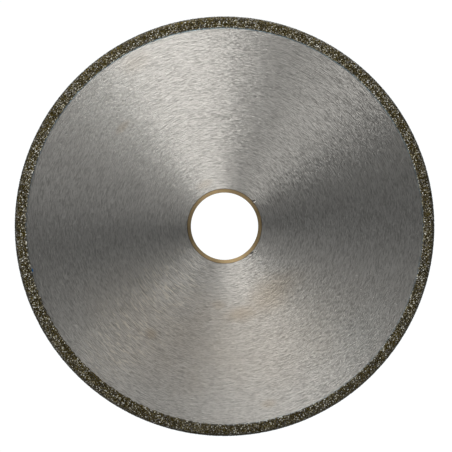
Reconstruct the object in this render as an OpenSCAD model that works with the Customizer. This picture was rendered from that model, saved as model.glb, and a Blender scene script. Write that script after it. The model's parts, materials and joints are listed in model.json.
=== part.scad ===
// Diamond grinding wheel with a continuous plated rim, for stone, glass and lapidary work.
// A ground steel core carries nickel plating over its edge, which holds one layer of diamond
// grains on both faces and the edge. A thin brass bush, staked in the core's hole, brings the
// hole down to the spindle size.
// The wheel turns about Y. The origin is the middle of the bore, and the front face looks along -Y.

/* [Wheel] */
// Diameter over the diamond grains
wheel_d = 125; // [100:1:180]

/* [Steel core] */
// Thickness between the two ground faces
core_t = 1.6; // [1.3:0.1:2.4]
// Depth that each ground face steps down where the plating lies
land_relief = 0.05; // [0.02:0.01:0.1]
// Radius on the core's outer corners, under the plating
core_round = 0.4; // [0.2:0.05:0.5]
// Chamfer on both mouths of the core's hole
hole_chamfer = 0.1; // [0.05:0.01:0.2]

/* [Bush] */
// Bore that fits the spindle
bore_d = 20; // [16:0.1:25.4]
// Wall of the bush: 1.115 brings a 22.23 mm hole down to 20 mm
bush_wall = 1.115; // [0.9:0.005:2]
// How far each end of the bush lies below the core's face
bush_inset = 0.1; // [0:0.05:0.2]
// Chamfer on the bush's four edges
bush_chamfer = 0.18; // [0.1:0.01:0.25]
// Radial gap between bush and core: 0 is line to line, as pressed in
bush_fit = 0; // [0:0.01:0.05]

/* [Staking] */
// Angle of each pair of punch marks, from +X towards +Z
stake_angles = [41, -42];
// Width across a punch mark at the surface
stake_w = 0.9; // [0.6:0.1:1.2]
// Width across the flat floor of a punch mark
stake_floor_w = 0.22; // [0.1:0.02:0.4]
// Depth of a punch mark
stake_depth = 0.4; // [0.2:0.05:0.5]
// Steel left between the hole and the near side of a punch mark
stake_land = 0.12; // [0.05:0.01:0.3]
// Radius of the lip of steel that a punch pushes into the bush
lip_r = 0.5; // [0.3:0.05:0.6]
// How far that lip reaches into the bush
lip_reach = 0.25; // [0.1:0.05:0.4]
// Depth of the lip along the axis, from the core's face
lip_depth = 0.45; // [0.3:0.05:0.5]

/* [Plated rim] */
// Width of the plated band on each face, in from the wheel's outside
band_w = 3.45; // [2.5:0.05:8]
// Thickness of the nickel over the core's ground face and edge
plate_t = 0.38; // [0.25:0.01:0.5]
// Radius on the plating's outer corners
plate_round = 0.75; // [0.5:0.05:0.9]
// Bevel along the plating's inner lip
lip_bevel = 0.15; // [0.05:0.05:0.2]

/* [Diamond grains] */
// Width of one grain
grain_w = 0.42; // [0.3:0.02:0.6]
// Height of the tallest grain above the nickel
grain_stand = 0.12; // [0.08:0.01:0.2]
// Distance between grains
grain_pitch = 1.15; // [0.9:0.05:2]
// Bare nickel left between the grains and the plating's inner lip
grain_margin = 0.3; // [0.1:0.05:0.5]

/* [Hidden] */
$fn = 180;

steel = [0.56, 0.56, 0.54];
brass = [0.56, 0.46, 0.30];
nickel = [0.30, 0.29, 0.23];
diamond = [0.62, 0.58, 0.42];

core_r = wheel_d / 2 - grain_stand - plate_t;
plate_r = core_r + plate_t;
band_r = wheel_d / 2 - band_w;
core_face = core_t / 2;
land_face = core_face - land_relief;
plate_face = core_face + plate_t;
bush_r = bore_d / 2 + bush_wall;
hole_r = bush_r + bush_fit;
bush_face = core_face - bush_inset;
stake_r = hole_r + stake_land + stake_w / 2;
lip_centre = hole_r - lip_reach + lip_r;

corner_steps = 6;
// How far a cut runs on past the face that it opens
cut_over = 0.1;
golden_angle = 137.508;
grain_seed = 41;
// Shares of the full grain width and height that the smallest grain has
grain_least = 0.7;
stand_least = 0.55;
// Share of the free space between grains that a grain may stray from its place
grain_stray = 0.8;
// Direction in which a grain's tip leans, from its first corner, and how far as a share of its width
lean_angle = 30;
grain_lean = 0.2;
// Corners round a grain's foot, and all of its points with the tip
foot = 4;
points_each = foot + 1;
// Random draws for each grain: its place twice, its turn, its width and its height
draws = 5;

// Turns the wheel's axis from Z to Y, so that what faced +Z looks along -Y
module upright() {
    rotate([90, 0, 0]) children();
}

// Copies its children to both sides of the wheel's mid plane
module both_faces() {
    children();
    mirror([0, 0, 1]) children();
}

// Points on an arc about c, from angle a0 to a1
function arc(c, r, a0, a1, steps) =
    [for (i = [0:steps]) c + r * [cos(a0 + (a1 - a0) * i / steps), sin(a0 + (a1 - a0) * i / steps)]];

// Half section of the core, hole to rim, from the front face round to the back
function core_section() = concat(
    [[hole_r, core_face - hole_chamfer], [hole_r + hole_chamfer, core_face]],
    [[band_r, core_face], [band_r, land_face]],
    arc([core_r - core_round, land_face - core_round], core_round, 90, 0, corner_steps),
    arc([core_r - core_round, core_round - land_face], core_round, 0, -90, corner_steps),
    [[band_r, -land_face], [band_r, -core_face]],
    [[hole_r + hole_chamfer, -core_face], [hole_r, hole_chamfer - core_face]]
);

// Outside of the plating, from its front lip round the edge to its back lip
function plating_outside() = concat(
    [[band_r, core_face], [band_r, plate_face - lip_bevel], [band_r + lip_bevel, plate_face]],
    arc([plate_r - plate_round, plate_face - plate_round], plate_round, 90, 0, corner_steps),
    arc([plate_r - plate_round, plate_round - plate_face], plate_round, 0, -90, corner_steps),
    [[band_r + lip_bevel, -plate_face], [band_r, lip_bevel - plate_face], [band_r, -core_face]]
);

// Inside of the plating, which is the core's own land and edge, taken the other way round
function plating_inside() = concat(
    [[band_r, -land_face]],
    arc([core_r - core_round, core_round - land_face], core_round, -90, 0, corner_steps),
    arc([core_r - core_round, land_face - core_round], core_round, 0, 90, corner_steps),
    [[band_r, land_face]]
);

// Section of the bush, a bar with its four corners broken
function bush_section() = [
    [bore_d / 2, bush_chamfer - bush_face], [bore_d / 2 + bush_chamfer, -bush_face],
    [bush_r - bush_chamfer, -bush_face], [bush_r, bush_chamfer - bush_face],
    [bush_r, bush_face - bush_chamfer], [bush_r - bush_chamfer, bush_face],
    [bore_d / 2 + bush_chamfer, bush_face], [bore_d / 2, bush_face - bush_chamfer]
];

// Places its children at each staking angle, at radius r
module at_stakes(r) {
    for (a = stake_angles) rotate([0, 0, a]) translate([r, 0, 0]) children();
}

// Steel that the punch pushes towards the bush, on both faces
module staking_lips() {
    both_faces() at_stakes(lip_centre)
        translate([0, 0, core_face - lip_depth]) cylinder(r = lip_r, h = lip_depth - hole_chamfer);
}

// Punch marks beside the hole, on both faces
module punch_marks() {
    both_faces() at_stakes(stake_r) {
        translate([0, 0, core_face - stake_depth])
            cylinder(r1 = stake_floor_w / 2, r2 = stake_w / 2, h = stake_depth);
        translate([0, 0, core_face]) cylinder(r = stake_w / 2, h = cut_over);
    }
}

module steel_core() {
    color(steel) upright() difference() {
        union() {
            rotate_extrude() polygon(core_section());
            staking_lips();
        }
        punch_marks();
    }
}

module bush() {
    color(brass) upright() difference() {
        rotate_extrude() polygon(bush_section());
        staking_lips();
    }
}

module nickel_plating() {
    color(nickel) upright() rotate_extrude() polygon(concat(plating_outside(), plating_inside()));
}

// Points of one grain: the corners round its foot, and its tip.
// at is the foot's middle, u and v lie across the foot, and n points out of the nickel.
// size is the grain's share of the full width, and rise its share of the full height.
function grain_points(at, u, v, n, turn, size, rise) =
    let (w = grain_w * size, h = grain_stand * rise, lean = turn + lean_angle)
    concat(
        [for (k = [0:foot - 1])
            let (a = turn + 360 * k / foot)
            at + w / 2 * (cos(a) * u + sin(a) * v)],
        [at + h * n + grain_lean * w * (cos(lean) * u + sin(lean) * v)]
    );

// Faces of the grain whose points start at number s, each wound clockwise from outside
function grain_faces(s) = concat(
    [[for (k = [0:foot - 1]) s + k]],
    [for (k = [0:foot - 1]) [s + (k + 1) % foot, s + k, s + foot]]
);

// One closed shell for each grain in the list
module grains(list) {
    polyhedron(
        points = [for (g = list) each g],
        faces = [for (i = [0:len(list) - 1]) each grain_faces(points_each * i)]
    );
}

// Takes a random draw from 0 to 1 to the span from low to high
function span(draw, low, high) = low + (high - low) * draw;

// Middle lines of as many rows as fit between two limits, at least a pitch apart
function rows(low, high) =
    let (gaps = floor(max(high - low, 0) / grain_pitch))
    gaps == 0 ? [(low + high) / 2] : [for (j = [0:gaps]) low + (high - low) * j / gaps];

// Grains on the front face, in rings about the axis, each moved a little from its place
function face_grains() =
    let (low = band_r + grain_margin + grain_w / 2,
         high = plate_r - plate_round - grain_w / 2,
         rings = rows(low, high),
         stray = grain_stray * (grain_pitch - grain_w) / 2)
    [for (j = [0:len(rings) - 1])
        let (count = floor(2 * PI * rings[j] / grain_pitch),
             draw = rands(0, 1, draws * count, grain_seed + j))
        for (i = [0:count - 1])
            let (d = draws * i,
                 turned = span(draw[d], -stray, stray) / rings[j] * 180 / PI,
                 a = 360 * i / count + golden_angle * j + turned,
                 r = min(max(rings[j] + span(draw[d + 1], -stray, stray), low), high))
            grain_points(
                [r * cos(a), r * sin(a), plate_face], [1, 0, 0], [0, 1, 0], [0, 0, 1],
                span(draw[d + 2], 0, 90), span(draw[d + 3], grain_least, 1),
                span(draw[d + 4], stand_least, 1))];

// Grains round the edge, in rows along its flat, each moved a little round the wheel
function edge_grains() =
    let (high = plate_face - plate_round - grain_w / 2,
         lines = rows(-high, high),
         count = floor(2 * PI * plate_r / grain_pitch),
         stray = grain_stray * (grain_pitch - grain_w) / 2)
    [for (j = [0:len(lines) - 1])
        let (draw = rands(0, 1, draws * count, grain_seed - 1 - j))
        for (i = [0:count - 1])
            let (d = draws * i,
                 turned = span(draw[d], -stray, stray) / plate_r * 180 / PI,
                 a = 360 * i / count + golden_angle * j + turned,
                 z = len(lines) > 1 ? lines[j] : span(draw[d + 1], -max(high, 0), max(high, 0)))
            grain_points(
                [plate_r * cos(a), plate_r * sin(a), z], [-sin(a), cos(a), 0], [0, 0, 1], [cos(a), sin(a), 0],
                span(draw[d + 2], 0, 90), span(draw[d + 3], grain_least, 1),
                span(draw[d + 4], stand_least, 1))];

module diamond_grains_front() {
    color(diamond) upright() grains(face_grains());
}

// The front's grains turned half round about Z, so that they look along +Y
module diamond_grains_back() {
    color(diamond) rotate([0, 0, 180]) upright() grains(face_grains());
}

module diamond_grains_edge() {
    color(diamond) upright() grains(edge_grains());
}

steel_core();
bush();
nickel_plating();
diamond_grains_front();
diamond_grains_back();
diamond_grains_edge();
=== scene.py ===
"""Diamond grinding wheel: the looks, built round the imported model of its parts.

The wheel turns about Y and its front face looks along -Y. All sizes are in metres. A section of the
wheel is drawn in two numbers: the radius from the axis, and the height in front of the mid plane.
"""

import json
from math import cos, pi, radians, sin

import bpy
import numpy as np
from bpy.props import FloatProperty, FloatVectorProperty, IntProperty, PointerProperty
from bpy.types import Operator, Panel, PropertyGroup
from mathutils import Matrix, Vector


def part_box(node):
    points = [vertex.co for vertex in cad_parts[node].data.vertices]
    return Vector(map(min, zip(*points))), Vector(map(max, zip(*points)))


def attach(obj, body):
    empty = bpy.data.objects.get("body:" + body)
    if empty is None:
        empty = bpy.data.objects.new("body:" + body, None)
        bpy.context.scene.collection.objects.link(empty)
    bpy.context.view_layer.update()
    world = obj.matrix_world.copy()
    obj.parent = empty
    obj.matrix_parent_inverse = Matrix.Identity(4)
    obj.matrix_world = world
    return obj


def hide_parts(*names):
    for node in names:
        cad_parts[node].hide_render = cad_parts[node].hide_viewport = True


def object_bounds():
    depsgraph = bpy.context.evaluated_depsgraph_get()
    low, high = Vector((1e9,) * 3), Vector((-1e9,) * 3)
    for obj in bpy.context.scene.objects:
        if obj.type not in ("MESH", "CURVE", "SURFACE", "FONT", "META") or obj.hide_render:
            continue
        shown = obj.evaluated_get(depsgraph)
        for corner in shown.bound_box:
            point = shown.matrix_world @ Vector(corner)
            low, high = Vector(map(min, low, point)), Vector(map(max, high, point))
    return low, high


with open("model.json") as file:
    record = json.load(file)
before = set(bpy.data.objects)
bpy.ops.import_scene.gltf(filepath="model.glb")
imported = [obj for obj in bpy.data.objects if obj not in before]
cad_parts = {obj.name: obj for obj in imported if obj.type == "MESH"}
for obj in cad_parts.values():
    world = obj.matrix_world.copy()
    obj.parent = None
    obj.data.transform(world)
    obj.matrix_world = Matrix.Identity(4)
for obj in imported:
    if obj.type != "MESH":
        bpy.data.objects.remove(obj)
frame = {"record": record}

bl_info = {
    "name": "Diamond grinding wheel",
    "version": (1, 0, 0),
    "blender": (4, 5, 0),
    "location": "View3D > Sidebar > Wheel",
    "description": "Builds a plated diamond grinding wheel with a steel core and a brass bush",
    "category": "Object",
}

CAD_BOX = [list(corner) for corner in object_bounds()]
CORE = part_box("steel_core")[1]
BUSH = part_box("bush")[1]
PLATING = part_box("nickel_plating")[1]
BORE = next(m for m in frame["record"]["mounts"] if m["name"] == "spindle_bore")
MM = 0.001
TURN = 2 * pi


def length(name, default, description):
    """A size in metres that the sidebar shows."""
    return FloatProperty(
        name=name, description=description, default=default, min=0, precision=5,
        unit="LENGTH", subtype="DISTANCE",
    )


def share(name, default, description, high=1.0):
    """A plain number from 0 up."""
    return FloatProperty(name=name, description=description, default=default, min=0, max=high)


def colour(name, default, description):
    """A colour in linear light."""
    return FloatVectorProperty(
        name=name, description=description, default=default, min=0, max=1, size=3, subtype="COLOR",
    )


def count(name, default, description):
    """A whole number."""
    return IntProperty(name=name, description=description, default=default, min=1)


class WheelSizes(PropertyGroup):
    """Sizes of the core, the bush and the plating."""

    bore_r: length("Bore radius", BORE["dims"]["r_mm"] * MM, "Radius of the bush's bore")
    bush_r: length("Bush radius", BUSH.x, "Outer radius of the bush, and radius of the core's hole")
    bush_face: length("Bush face", BUSH.y, "Height of the bush's end above the mid plane")
    bush_edge: length("Bush edge", 0.12 * MM, "Rounding on the bush's four edges")
    bush_dish: length("Bush dish", 0.1 * MM, "Fall of the bush's end towards the bore")
    groove: length("Groove depth", 0.002 * MM, "Depth of the turning grooves on the bush")
    groove_pitch: length("Groove pitch", 0.11 * MM, "Distance between the turning grooves")
    core_r: length("Core radius", CORE.x, "Radius of the steel core under the plating")
    core_face: length("Core face", CORE.y, "Height of the ground face above the mid plane")
    core_round: length("Core rounding", 0.4 * MM, "Radius on the core's outer corners")
    land_relief: length("Land relief", 0.05 * MM, "Step down in the core's face under the plating")
    hole_chamfer: length("Hole chamfer", 0.1 * MM, "Chamfer on the core's hole")
    band: length("Band width", 3.35 * MM, "Width of the plated band, with the grains")
    plate_r: length("Plating radius", PLATING.x, "Outer radius of the nickel")
    plate_face: length("Plating face", PLATING.y, "Height of the nickel above the mid plane")
    plate_round: length("Plating rounding", 0.75 * MM, "Radius on the plating's outer corners")
    lip_round: length("Lip rounding", 0.16 * MM, "Radius along the plating's inner lip")
    lip_wander: length("Lip wander", 0.08 * MM, "How far the inner lip strays in short waves")
    lip_bulge: length("Lip bulge", 0.62 * MM, "How far the inner lip reaches in at its widest place")
    valley: length("Valley", 0.09 * MM, "Depth of the nickel between the grains")
    steps: count("Steps round the core", 720, "Divisions of the core and bush round the axis")
    fine_steps: count("Steps round the rim", 2520, "Divisions of the plating round the axis")


class GritSizes(PropertyGroup):
    """Sizes of the diamond grains and how they lie."""

    width: length("Grain width", 0.37 * MM, "Width of an average grain")
    spread: share("Spread", 0.22, "How much wider or narrower a grain may be")
    pitch: length("Pitch", 0.41 * MM, "Distance between grains")
    stray: share("Stray", 0.34, "How far a grain strays from its place, in pitches")
    margin: length("Margin", 0.02 * MM, "Bare nickel between the lip and the first grains")
    stand: length(
        "Stand", CAD_BOX[1][1] - PLATING.y - 0.015 * MM, "Height of the tallest grain above the nickel",
    )
    least: share("Least stand", 0.1, "Height of the lowest grain, as a share of the tallest")
    gaps: share("Gaps", 0.1, "Share of the grains that are missing")
    seed: count("Seed", 23, "Start of the random numbers")


class Finishes(PropertyGroup):
    """Colours and roughness of the finishes."""

    steel: colour("Steel", (0.60, 0.59, 0.565), "Ground steel")
    scratch: colour("Scratch", (0.87, 0.832, 0.746), "Bright scratches in the steel")
    stain: colour("Stain", (0.50, 0.425, 0.335), "Faint brown stains on the steel")
    lacquer: colour("Lacquer", (0.010, 0.085, 0.23), "Fleck of masking lacquer at the band")
    haze: colour("Haze", (0.42, 0.59, 0.67), "Trace of masking lacquer along the band")
    brass: colour("Brass", (0.515, 0.385, 0.21), "Turned brass")
    nickel: colour("Nickel", (0.085, 0.066, 0.020), "Nickel between the grains")
    bare_nickel: colour("Bare nickel", (0.22, 0.24, 0.24), "Nickel along the inner lip")
    # Dirt on the grains, also used as painted shade on the grains near the rounded outer edge
    swarf_and_edge_shade: colour("Swarf", (0.02, 0.018, 0.009), "Dirt on the grains, most of it round the edge")
    # The dark scratches' colour, also used as painted shade in the joint round the bush, along the bush's
    # edges and in the punch marks
    dark_scratch_and_shade: colour("Grime", (0.035, 0.03, 0.022), "Dirt in the joint round the bush")
    steel_rough: share("Steel roughness", 0.43, "Roughness of the ground steel")
    brass_rough: share("Brass roughness", 0.5, "Roughness of the brass")
    drawn: share("Scratch direction", 1.0, "How strongly the scratches stretch the highlights")


class StudioSizes(PropertyGroup):
    """The lights, floor and camera."""

    fill: share("Fill", 0.9293, "Share of the picture's width that the wheel fills")
    aside: FloatVectorProperty(
        name="Aside", description="How far the camera's line misses the wheel's middle, in X and Z",
        default=(0.43 * MM, 0.06 * MM), size=2, precision=5, unit="LENGTH",
    )
    distance: length("Light distance", 0.34, "Distance of the softboxes from the wheel")
    backdrop: share("Backdrop", 1.05, "Brightness that the camera sees behind the wheel", high=2.0)
    ambient: share("Ambient", 0.155, "Brightness of the room that lights the wheel")


class WheelSettings(PropertyGroup):
    """Everything that the panel shows."""

    sizes: PointerProperty(type=WheelSizes)
    grit: PointerProperty(type=GritSizes)
    finishes: PointerProperty(type=Finishes)
    studio: PointerProperty(type=StudioSizes)


# Punch marks beside the hole: angle in degrees, then lengths in millimetres
PUNCH_MARKS = (
    {"turned": 40.5, "radius": 11.6, "long": 0.9, "wide": 0.85, "deep": 0.32, "burr": 0.045, "push": 0.06},
    {"turned": -45.3, "radius": 11.45, "long": 1.5, "wide": 0.6, "deep": 0.33, "burr": 0.035, "push": 0.08},
    {"turned": -40.0, "radius": 11.9, "long": 0.55, "wide": 0.5, "deep": 0.1, "burr": 0.05, "push": 0.0},
)

# Stains on the front face: angle in degrees, then radius, length and width in millimetres, then strength
STAINS = (
    (-70, 34.0, 62.0, 44.0, 0.3),
    (-125, 38.0, 50.0, 40.0, 0.3),
    (-53, 24.0, 18.0, 12.0, 0.6),
    (-81, 26.5, 10.0, 5.5, 0.65),
    (-94, 23.5, 5.0, 3.5, 0.4),
    (-76, 54.4, 5.0, 3.0, 0.5),
    (136, 42.3, 6.0, 2.6, 0.55),
    (236, 38.6, 4.6, 3.8, 0.65),
    (119, 55.4, 11.0, 7.0, 0.25),
    (115, 13.8, 6.0, 3.0, 0.4),
)

# Fleck of lacquer left at the edge of the band: angle in degrees, radius, length and width in millimetres
FLECK = (192.9, 58.62, 1.35, 0.5)

# Kinds of scratch on the ground steel: how many fit in a metre round the wheel, and across it
FINE = (1000, 4700)
COARSE = (450, 3500)
DARK = (170, 3000)
BRIGHT = (360, 3300)

# Shifts in the noise that give each face, and the bright scratches, a pattern of their own
FACE_SHIFT = 31.0
BRIGHT_SHIFT = 50.0

# Patches with coarser scratches on the front face: angle in degrees, radius, length and width in
# millimetres, then how strongly the dark scratches show, and the bright ones
SCRATCHED = (
    (52, 51.0, 46.0, 15.0, 0.35, 0.0),
    (228, 36.0, 22.0, 54.0, 0.35, 0.8),
)

# Shades of the grit: place in the order of the grains' tints, and colour. The two palest stops, up to near
# white, stand in partly for paler grains and partly for glints, as painted highlights
GRIT_SHADES_AND_GLINTS = (
    (0.0, (0.016, 0.011, 0.001)),
    (0.38, (0.036, 0.026, 0.002)),
    (0.55, (0.085, 0.063, 0.008)),
    (0.70, (0.14, 0.108, 0.022)),
    (0.84, (0.38, 0.35, 0.22)),
    (1.0, (0.84, 0.86, 0.83)),
)

# Softboxes: name, direction from +X towards +Z as seen from the front and tilt from the wheel's axis in
# degrees, width round the wheel and height across it in metres, power in watts, colour, and whether it
# stands behind
SOFTBOXES = (
    ("key_softbox", 107.5, 52, 0.205, 0.26, 0.56, (1.0, 0.975, 0.945), False),
    ("glow_softbox", 107, 52, 0.42, 0.26, 0.28, (1.0, 0.975, 0.945), False),
    ("strip_softbox", 51, 52, 0.12, 0.26, 0.165, (1.0, 0.975, 0.945), False),
    ("side_softbox", 155, 52, 0.24, 0.26, 0.12, (1.0, 0.98, 0.96), False),
    ("back_softbox", 80, 52, 0.3, 0.26, 0.72, (1.0, 0.98, 0.95), True),
)

# The burr round a punch mark: its middle and width, as shares of the mark's half size
BURR_AT = 1.25
BURR_WIDTH = 0.28

# Width of the core's face next to the hole that has a fine mesh for the punch marks
WORKED = 3.2 * MM

# Middle and half width, in degrees, of the stretch where the plating reaches further in
BULGE_AT = 228
BULGE_WIDTH = 40

# The inner lip's short waves: how many, their turns round the axis, and their lengths across, which
# don't show because the lip is a line
LIP_WAVES = (14, (20, 300), (1, 2))

# Distance from the inner lip over which its straying dies out
LIP_FADE = 0.9 * MM

# The nickel's lumps: how many waves, their turns round the axis, their lengths across, and their height
LUMPS = (26, (150, 700), (0.6 * MM, 2.5 * MM))
LUMP_HEIGHT = 0.012 * MM

# How far the nickel climbs a grain, as a share of the valley, and how wide the climb is
CLIMB = 0.75
CLIMB_WIDTH = 0.24 * MM

# Distance over which the smooth lip turns into valleys
LIP_BLEND = 0.4 * MM

# How much a grain's corners may differ from its shade
CORNER_TINT = 0.2

# Greatest distance between points of a section, by place
WALL_STEP = 0.2 * MM
WORKED_STEP = 0.11 * MM
FACE_STEP = 5 * MM
LAND_STEP = 1.2 * MM
EDGE_STEP = 0.3 * MM
OUTLINE_STEP = 0.02 * MM
NICKEL_STEP = 0.13 * MM

# Distance to either side of a point of the rim's outline over which its direction is taken
SLOPE_REACH = 0.03 * MM

# Edges that bend by more than this angle are shown sharp
CREASE = radians(32)

# Half the width of the floor
FLOOR_HALF = 3.0


# ---------------------------------------------------------------- surfaces

def make_mesh(name, places, faces, smooth=True):
    """Mesh from an array of points and an array of faces, all with the same number of corners."""
    mesh = bpy.data.meshes.new(name)
    mesh.vertices.add(len(places))
    mesh.vertices.foreach_set("co", places.astype(np.float32).ravel())
    mesh.loops.add(faces.size)
    mesh.loops.foreach_set("vertex_index", faces.astype(np.int32).ravel())
    mesh.polygons.add(len(faces))
    starts = np.arange(len(faces), dtype=np.int32) * faces.shape[1]
    mesh.polygons.foreach_set("loop_start", starts)
    mesh.update(calc_edges=True)
    mesh.validate()
    if smooth:
        mesh.shade_smooth()
        mesh.set_sharp_from_angle(angle=CREASE)
    else:
        mesh.shade_flat()
    return mesh


def directions(steps):
    """Column of angles round the axis, one for each step."""
    return np.arange(steps)[:, None] * TURN / steps


def ring(name, radius, height):
    """Closed ring about the axis. Both arrays have a row for each step round the axis and a column for
    each point of a closed section that runs anticlockwise, radius to the right and height up. The
    point in a row at angle a lies at x = radius cos a, y = -height, z = radius sin a."""
    steps, points = radius.shape
    a = directions(steps)
    places = np.stack([radius * np.cos(a), -height, radius * np.sin(a)], axis=-1).reshape(-1, 3)
    here = np.arange(steps * points).reshape(steps, points)
    on = np.roll(here, -1, axis=0)
    faces = np.stack([here, on, np.roll(on, -1, axis=1), np.roll(here, -1, axis=1)], axis=-1)
    return make_mesh(name, places, faces.reshape(-1, 4))


def arc(middle, radius, start, end, points):
    """Points on an arc of a section, from angle start to angle end in degrees."""
    a = np.radians(np.linspace(start, end, points))
    return np.stack([middle[0] + radius * np.cos(a), middle[1] + radius * np.sin(a)], axis=-1)


def line(start, end, spacing, whole=True):
    """Points from start towards end, no further apart than spacing. whole keeps the end point too."""
    start, end = np.asarray(start, float), np.asarray(end, float)
    points = max(int(np.ceil(np.linalg.norm(end - start) / spacing)), 1) + 1
    return np.linspace(start, end, points)[: None if whole else -1]


def flipped(section):
    """The section's mirror image in the mid plane, run the other way so that it still joins on."""
    return (section * [1, -1])[::-1]


def waves(a, along, rng, count, turns, lengths):
    """Smooth chance numbers about 0 with a spread of about 1: a sum of sine waves. Each has a whole
    number of turns round the axis, so the ring closes, and its own wavelength along the section."""
    total = np.zeros(np.broadcast(a, along).shape)
    for _ in range(count):
        around = rng.integers(*turns)
        across = TURN / rng.uniform(*lengths) * rng.choice([-1, 1])
        total += np.sin(around * a + across * along + rng.uniform(0, TURN))
    return total * (2 / count) ** 0.5


def smooth_step(t):
    """0 below 0, 1 above 1, and 3 t^2 - 2 t^3 between."""
    t = np.clip(t, 0, 1)
    return t * t * (3 - 2 * t)


def swept(section, steps):
    """A section's radii and its heights, each with a row for every step round the axis."""
    return np.tile(section[:, 0], (steps, 1)), np.tile(section[:, 1], (steps, 1))


def near_face(s, height):
    """1 at the core's two faces, falling smoothly to 0 halfway to the mid plane."""
    return smooth_step((np.abs(height) - s.core_face / 2) / (s.core_face / 2))


def punched(a, radius):
    """Change in the face's height round every punch mark, and how far the hole's edge is pushed in.
    With q the distance from a mark's middle in half lengths and half widths, the dent is
    -depth (1 - q^2)^1.5 inside q = 1, and the burr is a bell curve about its own q."""
    height, push = np.zeros(np.broadcast(a, radius).shape), np.zeros_like(a)
    for mark in PUNCH_MARKS:
        m = {key: value * MM for key, value in mark.items() if key != "turned"}
        off = (a - radians(mark["turned"]) + pi) % TURN - pi
        q = np.hypot(off * radius / (m["long"] / 2), (radius - m["radius"]) / (m["wide"] / 2))
        height += -m["deep"] * np.clip(1 - q * q, 0, 1) ** 1.5
        height += m["burr"] * np.exp(-(((q - BURR_AT) / BURR_WIDTH) ** 2))
        push += m["push"] * np.exp(-((off * m["radius"] / (m["long"] / 2)) ** 2))
    return height, push


def core_mesh(s, band_r):
    """Steel core: hole, ground faces with their punch marks, and the land under the plating."""
    land = s.core_face - s.land_relief
    corner = s.core_r - s.core_round
    rim = s.bush_r + s.hole_chamfer
    worked = s.bush_r + WORKED
    outer = np.concatenate([
        line((band_r, land), (corner, land), LAND_STEP, whole=False),
        arc((corner, land - s.core_round), s.core_round, 90, 0, 7),
    ])
    face = np.concatenate([
        line((rim, s.core_face), (worked, s.core_face), WORKED_STEP, whole=False),
        line((worked, s.core_face), (band_r, s.core_face), FACE_STEP),
    ])
    mouth = arc((rim, s.core_face - s.hole_chamfer), s.hole_chamfer, 180, 90, 5)[:-1]
    wall = line((s.bush_r, 0), (s.bush_r, s.core_face - s.hole_chamfer), WALL_STEP, whole=False)
    upper = np.concatenate([wall, mouth, face, outer])
    section = np.concatenate([upper, flipped(upper)[:-1]])[::-1]
    radius, height = swept(section, s.steps)
    dent, push = punched(directions(s.steps), radius)
    near_hole = smooth_step(1 - (radius - s.bush_r) / (1.0 * MM))
    radius = radius - push * near_face(s, height) * near_hole
    height = height + np.sign(height) * dent * smooth_step((np.abs(height) - land) / s.land_relief)
    return ring("ground_core", radius, height)


def bush_mesh(s):
    """Brass bush: a ring with rounded edges and fine turning grooves on its ends. The grooves follow
    depth sin^2(pi r / pitch). Its outside gives way where the core's edge is pushed in."""
    edge = s.bush_edge
    low, high = s.bore_r + edge, s.bush_r - edge
    top = s.bush_face - edge
    end = line((low, s.bush_face - s.bush_dish), (high, s.bush_face), s.groove_pitch / 4, whole=False)
    end[:, 1] -= s.groove * np.sin(pi * end[:, 0] / s.groove_pitch) ** 2
    upper = np.concatenate([
        line((s.bore_r, 0), (s.bore_r, top - s.bush_dish), WALL_STEP, whole=False),
        arc((low, top - s.bush_dish), edge, 180, 90, 7)[:-1],
        end,
        arc((high, top), edge, 90, 0, 7)[:-1],
        line((s.bush_r, top), (s.bush_r, 0), WALL_STEP),
    ])
    section = np.concatenate([upper, flipped(upper)[1:-1]])[::-1]
    radius, height = swept(section, s.steps)
    push = punched(directions(s.steps), radius)[1]
    near_wall = smooth_step((radius - low) / (s.bush_r - low))
    return ring("turned_bush", radius - push * near_face(s, height) * near_wall, height)


class Rim:
    """The plated rim's outline, followed by the distance along it from the front lip to the back lip."""

    def __init__(self, s, g):
        self.s, self.g = s, g
        self.wheel_r = s.plate_r + g.stand
        self.band_r = self.wheel_r - s.band
        corner = s.plate_r - s.plate_round
        low = s.plate_face - s.plate_round
        lip_r, lip_face = self.band_r + s.lip_round, s.plate_face - s.lip_round
        path = np.concatenate([
            line((self.band_r, s.core_face), (self.band_r, lip_face), OUTLINE_STEP, whole=False),
            arc((lip_r, lip_face), s.lip_round, 180, 90, 13)[:-1],
            line((lip_r, s.plate_face), (corner, s.plate_face), OUTLINE_STEP, whole=False),
            arc((corner, low), s.plate_round, 90, 0, 60)[:-1],
            line((s.plate_r, low), (s.plate_r, 0), OUTLINE_STEP),
        ])
        self.path = np.concatenate([path, flipped(path)[1:]])
        stretch = np.linalg.norm(np.diff(self.path, axis=0), axis=1)
        self.along = np.concatenate([[0], np.cumsum(stretch)])
        self.length = self.along[-1]
        lip = s.plate_face - s.core_face - s.lip_round + s.lip_round * pi / 2
        self.first = lip + g.margin - s.lip_round
        self.corner = lip + (corner - self.band_r - s.lip_round) + s.plate_round * pi / 4

    def at(self, along):
        """Radius, height, and the outward direction's two parts, at each distance along the outline."""
        r = np.interp(along, self.along, self.path[:, 0])
        h = np.interp(along, self.along, self.path[:, 1])
        before, after = (
            [np.interp(along + way, self.along, self.path[:, k]) for k in (0, 1)]
            for way in (-SLOPE_REACH, SLOPE_REACH)
        )
        dr, dh = np.subtract(after, before)
        size = np.hypot(dr, dh)
        return r, h, -dh / size, dr / size


def lip_strays(rim, a, along):
    """Change in radius near the lips, at angle a and a distance along the outline: short chance waves
    round the axis, and one wide bulge towards the axis, bulge * exp(-(angle / width)^2). Both die out
    evenly over the fade's length from the lip."""
    s = rim.s
    rng = np.random.default_rng(rim.g.seed + 2)
    wander = waves(a, along * 0, rng, *LIP_WAVES)
    off = (a - radians(BULGE_AT) + pi) % TURN - pi
    bulge = s.lip_bulge * np.exp(-((off / radians(BULGE_WIDTH)) ** 2))
    fade = np.clip(1 - np.minimum(along, rim.length - along) / LIP_FADE, 0, 1)
    return fade * (s.lip_wander * np.clip(wander, -1.5, 1.5) - bulge)


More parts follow.
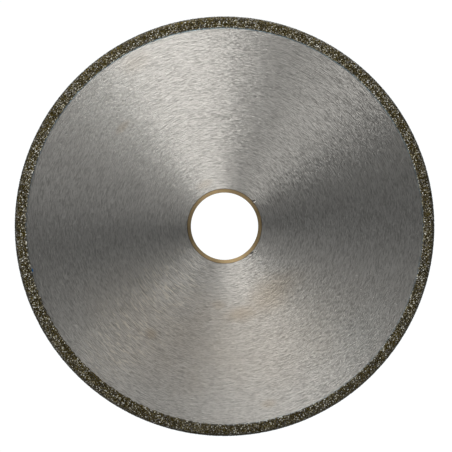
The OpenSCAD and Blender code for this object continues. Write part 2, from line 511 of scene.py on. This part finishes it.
class Grains:
    """Every diamond grain's place on the rim. They lie in rows round the wheel, a little more than a
    grain apart, each strayed by chance from its place, with some of them missing."""

    def __init__(self, rim, g):
        rng = np.random.default_rng(g.seed)
        rows = int((rim.length - 2 * rim.first) / (g.pitch * 3 ** 0.5 / 2)) + 1
        row_along = np.linspace(rim.first, rim.length - rim.first, rows)
        row_count = np.round(TURN * rim.at(row_along)[0] / g.pitch).astype(int)
        row = np.repeat(np.arange(rows), row_count)
        number = np.arange(len(row)) - np.repeat(np.cumsum(row_count) - row_count, row_count)
        stray = rng.uniform(-g.stray, g.stray, (2, len(row))) * g.pitch
        a = TURN * (number + row / 2) / row_count[row] + stray[0] / rim.at(row_along)[0][row]
        along = np.clip(row_along[row] + stray[1], rim.first, rim.length - rim.first)
        kept = rng.uniform(size=len(row)) > g.gaps
        self.a, self.along = a[kept] % TURN, along[kept]
        total = len(self.a)
        self.size = g.width * (1 + g.spread * rng.uniform(-1, 1, total))
        self.stretch = 1 + 0.5 * g.spread * rng.uniform(-1, 1, (total, 3))
        self.stand = g.stand * (g.least + (1 - g.least) * rng.beta(2.0, 1.6, total))
        self.turn = turns(rng.normal(size=(total, 4)))
        self.tint = rng.uniform(size=total)


def turns(quaternions):
    """Rotation matrices from an array of four chance numbers each, taken as quaternions of length 1,
    so that every direction is as likely as any other."""
    w, x, y, z = (quaternions / np.linalg.norm(quaternions, axis=1, keepdims=True)).T
    return np.stack([
        np.stack([1 - 2 * (y * y + z * z), 2 * (x * y - w * z), 2 * (x * z + w * y)], axis=-1),
        np.stack([2 * (x * y + w * z), 1 - 2 * (x * x + z * z), 2 * (y * z - w * x)], axis=-1),
        np.stack([2 * (x * z - w * y), 2 * (y * z + w * x), 1 - 2 * (x * x + y * y)], axis=-1),
    ], axis=1)


def crystal():
    """Points and triangles of a cube with its corners cut back to the middles of its edges, 1 across
    its square faces. Each corner leaves a triangle, and each cube face a square of two triangles."""
    points = np.array([p for s in (-1, 1) for t in (-1, 1) for p in ((s, t, 0), (s, 0, t), (0, s, t))])
    index = {tuple(p): i for i, p in enumerate(points)}
    signs = [(x, y, z) for x in (-1, 1) for y in (-1, 1) for z in (-1, 1)]
    faces = [(index[x, y, 0], index[x, 0, z], index[0, y, z]) for x, y, z in signs]
    for axis in range(3):
        for s in (-1, 1):
            ways = ((1, 0), (0, 1), (-1, 0), (0, -1))
            square = [index[tuple(np.insert(way, axis, s))] for way in ways]
            faces += [(square[0], square[1], square[2]), (square[0], square[2], square[3])]
    faces = np.array(faces)
    p, q, r = (points[faces[:, k]] for k in range(3))
    inward = (np.cross(q - p, r - p) * (p + q + r)).sum(axis=1) < 0
    faces[inward] = faces[inward][:, ::-1]
    return points / 2, faces


def grit_mesh(name, rim, grains, chosen):
    """The chosen grains: each is one crystal, turned by chance, sunk in the nickel until its highest
    point stands as far above the plating as the grain's stand says. A point that would still reach
    beyond the tallest grain of the faces is brought back to its height."""
    points, faces = crystal()
    shape = points * (grains.stretch[chosen] * grains.size[chosen, None])[:, None, :]
    shape = np.einsum("nij,nkj->nki", grains.turn[chosen], shape)
    r, h, nr, nh = rim.at(grains.along[chosen])
    r = r + lip_strays(rim, grains.a[chosen], grains.along[chosen])
    ca, sa = np.cos(grains.a[chosen]), np.sin(grains.a[chosen])
    out = np.stack([nr * ca, -nh, nr * sa], axis=-1)
    foot = np.stack([r * ca, -h, r * sa], axis=-1)
    reach = np.einsum("nkj,nj->nk", shape, out).max(axis=1)
    places = shape + (foot + out * (grains.stand[chosen] - reach)[:, None])[:, None, :]
    highest = rim.s.plate_face + rim.g.stand
    places[:, :, 1] = np.clip(places[:, :, 1], -highest, highest)
    first = np.arange(len(chosen))[:, None, None] * len(points)
    mesh = make_mesh(name, places.reshape(-1, 3), (first + faces).reshape(-1, 3), smooth=False)
    rng = np.random.default_rng(rim.g.seed + 3)
    shades = grains.tint[chosen, None] + rng.uniform(-CORNER_TINT, CORNER_TINT, (len(chosen), len(points)))
    tint = mesh.attributes.new("tint", "FLOAT", "POINT")
    tint.data.foreach_set("value", np.clip(shades, 0, 1).astype(np.float32).ravel())
    return mesh


def climbed(rim, grains, along, steps, rise, width):
    """How far the nickel climbs round the grains, on a grid of steps round the axis and distances
    along the outline: the highest of the bell curves rise * exp(-(d / width)^2), with d the distance
    from each grain's middle."""
    total = np.zeros((steps, len(along)))
    spacing = np.diff(along).mean()
    near = (grains.along > along[0] - 3 * width) & (grains.along < along[-1] + 3 * width)
    a, at = grains.a[near], grains.along[near]
    r = rim.at(at)[0]
    column = np.round(a / TURN * steps).astype(int)
    row = np.searchsorted(along, at)
    across, down = (int(2.5 * width / gap) + 1 for gap in (TURN * rim.wheel_r / steps, spacing))
    for i in range(-across, across + 1):
        for j in range(-down, down + 1):
            c, w = column + i, row + j
            inside = (w >= 0) & (w < len(along))
            c, w = c[inside], w[inside]
            du = (c * TURN / steps - a[inside]) * r[inside]
            dv = along[w] - at[inside]
            np.maximum.at(total, (c % steps, w), rise * np.exp(-(du * du + dv * dv) / width ** 2))
    return total


def nickel_mesh(name, rim, grains, start, end, hidden):
    """A stretch of the plating between two distances along the rim's outline. Outside, the nickel
    lies a valley's depth under the outline, rises round each grain, and strays in short waves, all
    along the outward direction. hidden is the section's inside, run on from end back to start."""
    s = rim.s
    along = np.linspace(start, end, int(np.ceil((end - start) / NICKEL_STEP)) + 1)
    a = directions(s.fine_steps)
    r, h, nr, nh = rim.at(along)
    rng = np.random.default_rng(rim.g.seed + 1)
    lumps = waves(a, along, rng, *LUMPS)
    from_lip = np.minimum(along, rim.length - along)
    grown = smooth_step((from_lip - rim.first + LIP_BLEND) / LIP_BLEND)
    rise = climbed(rim, grains, along, s.fine_steps, CLIMB * s.valley, CLIMB_WIDTH)
    sink = grown * (rise - s.valley + LUMP_HEIGHT * np.clip(lumps, -2, 1))
    inside = np.tile(hidden, (s.fine_steps, 1, 1))
    radius = np.hstack([r + sink * nr + lip_strays(rim, a, along), inside[:, :, 0]])
    height = np.hstack([h + sink * nh, inside[:, :, 1]])
    return ring(name, radius[:, ::-1], height[:, ::-1])


def land_path(s, band_r):
    """Inside of the plating from the middle of the front corner to the front lip, on the core."""
    land = s.core_face - s.land_relief
    middle = (s.core_r - s.core_round, land - s.core_round)
    return np.concatenate([
        arc(middle, s.core_round, 45, 90, 4)[:-1],
        line((middle[0], land), (band_r, land), LAND_STEP),
    ])


def edge_path(s):
    """Inside of the plating round the core's edge, from the middle of the back corner to the front's."""
    low = s.core_face - s.land_relief - s.core_round
    half = np.concatenate([
        arc((s.core_r - s.core_round, low), s.core_round, 45, 0, 4)[:-1],
        line((s.core_r, low), (s.core_r, 0), EDGE_STEP),
    ])
    return np.concatenate([half, flipped(half)[1:]])[::-1]


# ---------------------------------------------------------------- materials

class Value:
    """A number in a material. An expression on it adds the Math nodes that work it out."""

    def __init__(self, paint, socket):
        self.paint, self.socket = paint, socket

    def math(self, operation, *values, limited=False):
        settings = {"operation": operation, "use_clamp": limited}
        node = self.paint.add("ShaderNodeMath", settings, dict(enumerate(values)))
        return Value(self.paint, node.outputs[0])

    def __add__(self, other):
        return self.math("ADD", self, other)

    def __radd__(self, other):
        return self.math("ADD", other, self)

    def __sub__(self, other):
        return self.math("SUBTRACT", self, other)

    def __rsub__(self, other):
        return self.math("SUBTRACT", other, self)

    def __mul__(self, other):
        return self.math("MULTIPLY", self, other)

    def __rmul__(self, other):
        return self.math("MULTIPLY", other, self)

    def __truediv__(self, other):
        return self.math("DIVIDE", self, other)

    def __rtruediv__(self, other):
        return self.math("DIVIDE", other, self)

    def __pow__(self, other):
        return self.math("POWER", self, other)

    def __abs__(self):
        return self.math("ABSOLUTE", self)

    def __gt__(self, other):
        return self.math("GREATER_THAN", self, other)

    def __lt__(self, other):
        return self.math("LESS_THAN", self, other)

    def limited(self):
        """The number, held between 0 and 1."""
        return self.math("ADD", self, 0.0, limited=True)

    def ramp(self, low, high):
        """0 below low, 1 above high, and a smooth rise between. Runs the other way if low > high."""
        values = {"Value": self, "From Min": low, "From Max": high}
        node = self.paint.add("ShaderNodeMapRange", {"interpolation_type": "SMOOTHSTEP"}, values)
        return Value(self.paint, node.outputs[0])


class Paint:
    """Builds the nodes of one material, or of the world."""

    def __init__(self, owner):
        owner.use_nodes = True
        self.tree = owner.node_tree
        self.tree.nodes.clear()

    def add(self, kind, settings=None, values=None):
        """Adds a node. Its settings are set first, then each socket gets its value or its link."""
        node = self.tree.nodes.new(kind)
        for key, value in (settings or {}).items():
            if key == "stops":
                while len(node.color_ramp.elements) < len(value):
                    node.color_ramp.elements.new(1)
                for stop, (place, shade) in zip(node.color_ramp.elements, value):
                    stop.position, stop.color = place, (*shade, 1)
            else:
                setattr(node, key, value)
        for key, value in (values or {}).items():
            if isinstance(value, Value):
                value = value.socket
            if isinstance(value, bpy.types.NodeSocket):
                self.tree.links.new(value, node.inputs[key])
            else:
                node.inputs[key].default_value = value
        return node

    def place(self):
        """X, Y and Z of the object's own coordinates."""
        own = self.add("ShaderNodeTexCoord").outputs["Object"]
        split = self.add("ShaderNodeSeparateXYZ", None, {0: own})
        return [Value(self, out) for out in split.outputs]

    def vector(self, x, y, z):
        """Vector from three numbers."""
        return self.add("ShaderNodeCombineXYZ", None, {0: x, 1: y, 2: z}).outputs[0]

    def noise(self, x, y, z, detail, rough=0.5):
        """Cloudy noise from about 0 to 1 whose lumps are about 1 across, at a point given in lumps."""
        values = {"Vector": self.vector(x, y, z), "Scale": 1.0, "Detail": detail, "Roughness": rough}
        return Value(self, self.add("ShaderNodeTexNoise", None, values).outputs[0])

    def strokes(self, x, z, across, kind, shift):
        """Noise drawn out round the wheel. kind says how many of its lumps fit in a metre round the
        wheel, and across it."""
        around, over = kind
        return self.noise(x * around, z * around, across * over + shift, 1.0)

    def mix(self, amount, first, second):
        """Colour between two colours."""
        shade = [c if isinstance(c, bpy.types.NodeSocket) else (*c, 1) for c in (first, second)]
        settings = {"data_type": "RGBA", "blend_type": "MIX", "clamp_factor": True}
        return self.add("ShaderNodeMix", settings, {0: amount, 6: shade[0], 7: shade[1]}).outputs[2]

    def bump(self, height, depth, below=None):
        """Normal of a surface raised by height, which runs from 0 to 1, times depth in metres."""
        values = {"Height": height, "Distance": depth}
        if below is not None:
            values["Normal"] = below
        return self.add("ShaderNodeBump", None, values).outputs[0]

    def leant(self, x, z, slope):
        """Normal that leans round the wheel by a slope. x and z are the outward direction's parts."""
        normal = self.add("ShaderNodeNewGeometry").outputs["Normal"]
        aside = self.vector(z * slope * -1.0, 0.0, x * slope)
        leaning = self.add("ShaderNodeVectorMath", {"operation": "ADD"}, {0: normal, 1: aside}).outputs[0]
        return self.add("ShaderNodeVectorMath", {"operation": "NORMALIZE"}, {0: leaning}).outputs[0]

    def finish(self, values):
        """Principled surface with the sockets given."""
        surface = self.add("ShaderNodeBsdfPrincipled", None, values)
        self.add("ShaderNodeOutputMaterial", None, {"Surface": surface.outputs[0]})


def new_material(name):
    """An empty material and the paint that builds its nodes."""
    material = bpy.data.materials.new(name)
    return material, Paint(material)


def blot(x, z, turned, radius, long, wide):
    """Distance from a blot's middle, 1 at its rim. The blot is long round the wheel, wide across it."""
    ca, sa = cos(radians(turned)), sin(radians(turned))
    u = (z * ca - x * sa) / (long / 2 * MM)
    v = (x * ca + z * sa - radius * MM) / (wide / 2 * MM)
    return (u * u + v * v) ** 0.5


def ground_steel(s, f, band_r):
    """Steel ground in circles: short fine and coarse strokes that run round the wheel and wander a
    little, patches of stronger scratches, brown stains, painted shade in the joint at the bush and in the
    punch marks, and traces of lacquer along the band."""
    material, p = new_material("ground_steel")
    x, y, z = p.place()
    radius = (x * x + z * z) ** 0.5

    # The pattern of the strokes
    front = y < 0.0
    side = front * FACE_SHIFT
    wander = (p.noise(x * 80, z * 80, side, 1.0) - 0.5) * (2 * MM)
    fine = p.strokes(x, z, radius + wander, FINE, side)
    coarse = p.strokes(x, z, radius - wander, COARSE, side)
    ground = (fine * 0.5 + coarse * 0.5).ramp(0.28, 0.66)
    patchy = p.noise(x * 35, z * 35, side, 2.0)
    dark = p.strokes(x, z, radius, DARK, side).ramp(0.56, 0.68)
    bright = p.strokes(x, z, radius, BRIGHT, side + BRIGHT_SHIFT).ramp(0.52, 0.66)
    cloud = p.noise(x * 90, z * 90, side + 7.0, 3.0)

    # Colour: strokes, scratched patches, stains, painted shade in the joint and the punch marks, and the
    # lacquer's haze and fleck
    shade = p.mix(ground, [c * 0.77 for c in f.steel], [c * 1.15 for c in f.steel])
    for turned, reach, long, wide, darkened, lit in SCRATCHED:
        patch = blot(x, z, turned, reach, long, wide).ramp(1.3, 0.4) * front
        shade = p.mix(dark * patch * darkened, shade, f.dark_scratch_and_shade)
        shade = p.mix(bright * patch * lit, shade, f.scratch)
    stained = 0.0
    for turned, reach, long, wide, strength in STAINS:
        soft = blot(x, z, turned, reach, long, wide) + (cloud - 0.5) * 0.7
        stained = soft.ramp(1.25, 0.2) * strength + stained
    shade = p.mix((stained * front).limited() * 0.75, shade, f.stain)
    # Painted shade: the steel is darkened in the joint round the bush and in the dents of the punch marks
    joint = abs(radius - s.bush_r).ramp(0.2 * MM, 0.03 * MM)
    pit = abs(y).ramp(s.core_face - 0.03 * MM, s.core_face - 0.25 * MM)
    near_hole = (radius > s.bush_r + 0.12 * MM) * (radius < s.bush_r + 2 * MM)
    shade_in_joint_and_pits = (joint * 0.5 + pit * near_hole * 0.7).limited()
    shade = p.mix(shade_in_joint_and_pits, shade, f.dark_scratch_and_shade)
    haze = (radius + (cloud - 0.5) * (0.2 * MM)).ramp(band_r - 0.42 * MM, band_r - 0.14 * MM)
    # The haze is stronger towards the top of the wheel and fainter towards the bottom
    shade = p.mix(haze * (z / radius * 0.35 + 0.55), shade, f.haze)
    fleck = blot(x, z, *FLECK).ramp(1.05, 0.75) * front
    shade = p.mix(fleck, shade, f.lacquer)

    # Bright strokes are smoother than dark ones, and every stroke leans its own way along itself
    uneven = (cloud - 0.5) * 0.03 + (patchy - 0.5) * 0.05
    rough = (ground - 0.62) * -0.22 + uneven + f.steel_rough
    leaning = (fine - 0.5) * 0.2
    relief = fine * 0.6 + coarse * 0.4
    across = p.bump(relief, 0.17 * MM, p.leant(x / radius, z / radius, leaning))
    p.finish({
        "Base Color": shade,
        "Metallic": 1 - fleck,
        "Roughness": rough,
        "Anisotropic": f.drawn,
        "Anisotropic Rotation": 0.25,
        "Tangent": p.add("ShaderNodeTangent", {"direction_type": "RADIAL", "axis": "Y"}).outputs[0],
        "Normal": across,
    })
    return material


def turned_brass(s, f):
    """Brass turned on a lathe: fine rings, dull blotches, and painted shade along both edges."""
    material, p = new_material("turned_brass")
    x, y, z = p.place()
    radius = (x * x + z * z) ** 0.5
    rings = p.noise(x * 200, z * 200, radius * 9000, 2.0)
    blotch = p.noise(x * 300, y * 300, z * 300, 3.0)
    worn = p.mix(blotch.ramp(0.3, 0.75), [c * 0.82 for c in f.brass], f.brass)
    # Painted shade: the brass is darkened towards its outer and inner edges
    outer = radius.ramp(s.bush_r - 0.2 * MM, s.bush_r - 0.02 * MM)
    inner = radius.ramp(s.bore_r + 0.2 * MM, s.bore_r)
    shade = p.mix((outer * 0.5 + inner * 0.35).limited(), worn, f.dark_scratch_and_shade)
    p.finish({
        "Base Color": shade,
        "Metallic": 1.0,
        "Roughness": (blotch - 0.5) * 0.15 + (rings - 0.5) * 0.1 + f.brass_rough,
        "Anisotropic": f.drawn * 0.85,
        "Anisotropic Rotation": 0.25,
        "Tangent": p.add("ShaderNodeTangent", {"direction_type": "RADIAL", "axis": "Y"}).outputs[0],
        "Normal": p.bump(rings, 0.004 * MM),
    })
    return material


def dark_nickel(s, f, band_r):
    """Nickel plating: dull and dirty between the grains, and clean along the bare inner lip."""
    material, p = new_material("dark_nickel")
    x, y, z = p.place()
    radius = (x * x + z * z) ** 0.5
    grain = p.noise(x * 5200, y * 5200, z * 5200, 3.0, 0.6)
    blotch = p.noise(x * 500, y * 500, z * 500, 3.0)
    bulging = (x * cos(radians(BULGE_AT)) + z * sin(radians(BULGE_AT))) / radius
    bare = (radius + (blotch - 0.5) * (0.3 * MM)).ramp(band_r + 0.3 * MM, band_r + 0.1 * MM)
    bare = bare * (1 - bulging.ramp(0.6, 0.95))
    dull = p.mix(blotch.ramp(0.3, 0.7), [c * 0.55 for c in f.nickel], f.nickel)
    p.finish({
        "Base Color": p.mix(bare, dull, f.bare_nickel),
        "Metallic": 1.0,
        "Roughness": grain * 0.2 + (0.32 - bare * 0.04),
        "Normal": p.bump(grain, 0.012 * MM),
    })
    return material


def diamond(f, wheel_r):
    """Synthetic diamond grit: olive, grey and straw-coloured crystals with bright facets. Specks of dirt,
    painted shade that darkens the grains towards the rounded outer edge, and painted glints in the palest
    shades.
    """
    material, p = new_material("diamond_grit")
    x, y, z = p.place()
    tint = Value(p, p.add("ShaderNodeAttribute", {"attribute_name": "tint"}).outputs["Fac"])
    speck = p.noise(x * 3000, y * 3000, z * 3000, 2.0)
    shade = p.add("ShaderNodeValToRGB", {"stops": GRIT_SHADES_AND_GLINTS}, {0: tint}).outputs[0]
    # Painted shade: the grains are darkened towards the rounded outer edge; the specks are dirt
    outer = ((x * x + z * z) ** 0.5).ramp(wheel_r - 1.3 * MM, wheel_r - 0.2 * MM)
    dirt_and_edge_shade = (speck.ramp(0.35, 0.8) * 0.35 + outer * 0.8).limited()
    p.finish({
        "Base Color": p.mix(dirt_and_edge_shade, shade, f.swarf_and_edge_shade),
        "Roughness": speck * 0.25 + 0.13,
        "IOR": 2.0,
        "Normal": p.bump(speck, 0.01 * MM),
    })
    return material


def pale_floor():
    """Pale matt board with a faint mottle."""
    material, p = new_material("pale_floor")
    x, y, z = p.place()
    mottle = p.noise(x * 40, y * 40, z * 40, 3.0)
    p.finish({
        "Base Color": p.mix(mottle * 0.3, (0.46, 0.46, 0.455), (0.42, 0.42, 0.415)),
        "Roughness": mottle * 0.1 + 0.6,
    })
    return material


# ---------------------------------------------------------------- operators

def settings():
    """The values that the panel shows."""
    return bpy.context.scene.grinding_wheel


def put(mesh, material, nodes):
    """Adds a finished piece to the object: it rides on the only body and stands for CAD nodes."""
    piece = bpy.data.objects.new(mesh.name, mesh)
    bpy.context.scene.collection.objects.link(piece)
    mesh.materials.append(material)
    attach(piece, "root")
    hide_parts(*nodes)


class WHEEL_OT_core(Operator):
    """Adds the ground steel core with its punch marks"""

    bl_idname = "wheel.core"
    bl_label = "Steel core"

    def execute(self, context):
        s, g = settings().sizes, settings().grit
        band_r = s.plate_r + g.stand - s.band
        material = ground_steel(s, settings().finishes, band_r)
        put(core_mesh(s, band_r), material, ["steel_core"])
        return {"FINISHED"}


class WHEEL_OT_bush(Operator):
    """Adds the turned brass bush"""

    bl_idname = "wheel.bush"
    bl_label = "Bush"

    def execute(self, context):
        s = settings().sizes
        put(bush_mesh(s), turned_brass(s, settings().finishes), ["bush"])
        return {"FINISHED"}


class WHEEL_OT_plating(Operator):
    """Adds the nickel plating in three stretches: front, edge and back"""

    bl_idname = "wheel.plating"
    bl_label = "Nickel plating"

    def execute(self, context):
        s, g = settings().sizes, settings().grit
        rim = Rim(s, g)
        grains = Grains(rim, g)
        material = dark_nickel(s, settings().finishes, rim.band_r)
        land = land_path(s, rim.band_r)
        stretches = (
            ("nickel_front", 0, rim.corner, land),
            ("nickel_edge", rim.corner, rim.length - rim.corner, edge_path(s)),
            ("nickel_back", rim.length - rim.corner, rim.length, flipped(land)),
        )
        for name, start, end, hidden in stretches:
            mesh = nickel_mesh(name, rim, grains, start, end, hidden)
            put(mesh, material, ["nickel_plating"])
        return {"FINISHED"}


class WHEEL_OT_grit(Operator):
    """Adds the diamond grains of the front, the edge and the back"""

    bl_idname = "wheel.grit"
    bl_label = "Diamond grains"

    def execute(self, context):
        s, g = settings().sizes, settings().grit
        rim = Rim(s, g)
        grains = Grains(rim, g)
        material = diamond(settings().finishes, rim.wheel_r)
        on_front = grains.along < rim.corner
        on_back = grains.along > rim.length - rim.corner
        for side, chosen in (("front", on_front), ("edge", ~on_front & ~on_back), ("back", on_back)):
            mesh = grit_mesh("grit_" + side, rim, grains, np.nonzero(chosen)[0])
            put(mesh, material, ["diamond_grains_" + side])
        return {"FINISHED"}


def softbox(distance, name, turned, tilt, wide, tall, power, tint, behind):
    """Area light at a distance from the wheel's middle, which it faces. Its width runs round the wheel
    and its height across."""
    data = bpy.data.lights.new(name, "AREA")
    data.shape, data.size, data.size_y = "RECTANGLE", wide, tall
    data.energy, data.color = power, tint
    light = bpy.data.objects.new(name, data)
    a, t = radians(turned), radians(tilt)
    toward = Vector((sin(t) * cos(a), cos(t) if behind else -cos(t), sin(t) * sin(a)))
    light.location = toward * distance
    light.rotation_mode = "QUATERNION"
    tangent = Vector((-sin(a), 0, cos(a)))
    light.rotation_quaternion = Matrix((tangent, toward.cross(tangent), toward)).transposed().to_quaternion()
    bpy.context.scene.collection.objects.link(light)


class WHEEL_OT_stage(Operator):
    """Adds the floor, the soft lights, the room's light and the camera"""

    bl_idname = "wheel.stage"
    bl_label = "Stage"

    def execute(self, context):
        studio = settings().studio
        low, high = (Vector(corner) for corner in CAD_BOX)
        corners = ((-1, -1), (1, -1), (1, 1), (-1, 1))
        places = np.array([(x * FLOOR_HALF, y * FLOOR_HALF, low.z) for x, y in corners])
        board = make_mesh("floor", places, np.array([[0, 1, 2, 3]]), smooth=False)
        board.materials.append(pale_floor())
        floor = bpy.data.objects.new("floor", board)
        context.scene.collection.objects.link(floor)

        for box in SOFTBOXES:
            softbox(studio.distance, *box)

        world = bpy.data.worlds.new("studio")
        context.scene.world = world
        p = Paint(world)
        seen = Value(p, p.add("ShaderNodeLightPath").outputs["Is Camera Ray"])
        strength = seen * (studio.backdrop - studio.ambient) + studio.ambient
        room = p.add("ShaderNodeBackground", None, {"Color": (0.97, 0.99, 1, 1), "Strength": strength})
        p.add("ShaderNodeOutputWorld", None, {"Surface": room.outputs[0]})
        context.scene.view_settings.view_transform = "Standard"

        data = bpy.data.cameras.new("camera")
        data.type = "ORTHO"
        data.ortho_scale = (high.x - low.x) / studio.fill
        camera = bpy.data.objects.new("camera", data)
        camera.location = (studio.aside[0], -1.0, studio.aside[1])
        camera.rotation_euler = (pi / 2, 0, 0)
        context.scene.collection.objects.link(camera)
        context.scene.camera = camera
        return {"FINISHED"}


class WHEEL_PT_panel(Panel):
    """Lists the wheel's sizes and the steps that build it"""

    bl_idname = "WHEEL_PT_panel"
    bl_label = "Grinding wheel"
    bl_space_type = "VIEW_3D"
    bl_region_type = "UI"
    bl_category = "Wheel"

    def draw(self, context):
        for step in STEPS:
            self.layout.operator(step.bl_idname)
        for group in ("sizes", "grit", "finishes", "studio"):
            box = self.layout.box()
            box.label(text=group.title())
            values = getattr(settings(), group)
            for name in values.__annotations__:
                box.prop(values, name)


STEPS = (WHEEL_OT_stage, WHEEL_OT_core, WHEEL_OT_bush, WHEEL_OT_plating, WHEEL_OT_grit)
CLASSES = (WheelSizes, GritSizes, Finishes, StudioSizes, WheelSettings, *STEPS, WHEEL_PT_panel)


def register():
    for item in CLASSES:
        bpy.utils.register_class(item)
    bpy.types.Scene.grinding_wheel = PointerProperty(type=WheelSettings)


def unregister():
    del bpy.types.Scene.grinding_wheel
    for item in reversed(CLASSES):
        bpy.utils.unregister_class(item)


def main():
    """Builds the stage and every piece."""
    register()
    bpy.ops.wheel.stage()
    bpy.ops.wheel.core()
    bpy.ops.wheel.bush()
    bpy.ops.wheel.plating()
    bpy.ops.wheel.grit()


if __name__ == "__main__":
    main()
